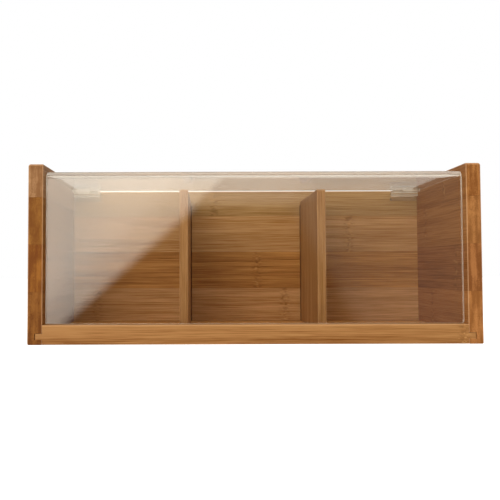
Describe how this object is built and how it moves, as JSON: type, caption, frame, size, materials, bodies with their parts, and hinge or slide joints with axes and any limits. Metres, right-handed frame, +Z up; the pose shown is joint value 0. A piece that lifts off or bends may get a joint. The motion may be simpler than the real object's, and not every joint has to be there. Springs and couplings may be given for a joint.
{
  "type": "tea box",
  "caption": "Bamboo table-top tea box: open bays side by side behind one bent clear cover that flips up on two small rear hinges.",
  "frame": {"origin": "on the table under the middle of the box", "axes": "+X to the right seen from the front, +Y from the open front to the back panel, +Z up"},
  "size_m": [0.3, 0.11, 0.1195],
  "materials": {
    "bamboo_sides": "oiled carbonised bamboo, edge-glued",
    "bamboo_back": "oiled carbonised bamboo, edge-glued",
    "bamboo_floor": "oiled carbonised bamboo",
    "bamboo_rail": "oiled carbonised bamboo",
    "bamboo_dividers": "oiled carbonised bamboo",
    "clear_acrylic": "clear, heat-bent, polished edges",
    "clear_hinge_plastic": "clear moulded plastic",
    "hinge_pin_plastic": "moulded plastic rod"
  },
  "bodies": {
    "box": {"back_board_1": "bamboo_back", "back_board_2": "bamboo_back", "back_board_3": "bamboo_back", "back_board_4": "bamboo_back", "divider_1": "bamboo_dividers", "divider_2": "bamboo_dividers", "floor_panel": "bamboo_floor", "front_rail": "bamboo_rail", "left_hinge_pin": "hinge_pin_plastic", "left_hinge_wall_leaf": "clear_hinge_plastic", "left_side_board_1": "bamboo_sides", "left_side_board_2": "bamboo_sides", "left_side_board_3": "bamboo_sides", "left_side_board_4": "bamboo_sides", "right_hinge_pin": "hinge_pin_plastic", "right_hinge_wall_leaf": "clear_hinge_plastic", "right_side_board_1": "bamboo_sides", "right_side_board_2": "bamboo_sides", "right_side_board_3": "bamboo_sides", "right_side_board_4": "bamboo_sides"},
    "cover": {"clear_cover": "clear_acrylic", "left_hinge_cover_leaf": "clear_hinge_plastic", "right_hinge_cover_leaf": "clear_hinge_plastic"}
  },
  "joints": [
    {"name": "cover_hinge", "type": "hinge", "parent": "box", "child": "cover", "pos_m": [0, 0.04165, 0.11025], "axis": [-1, 0, 0], "range_deg": [0, 110]}
  ]
}
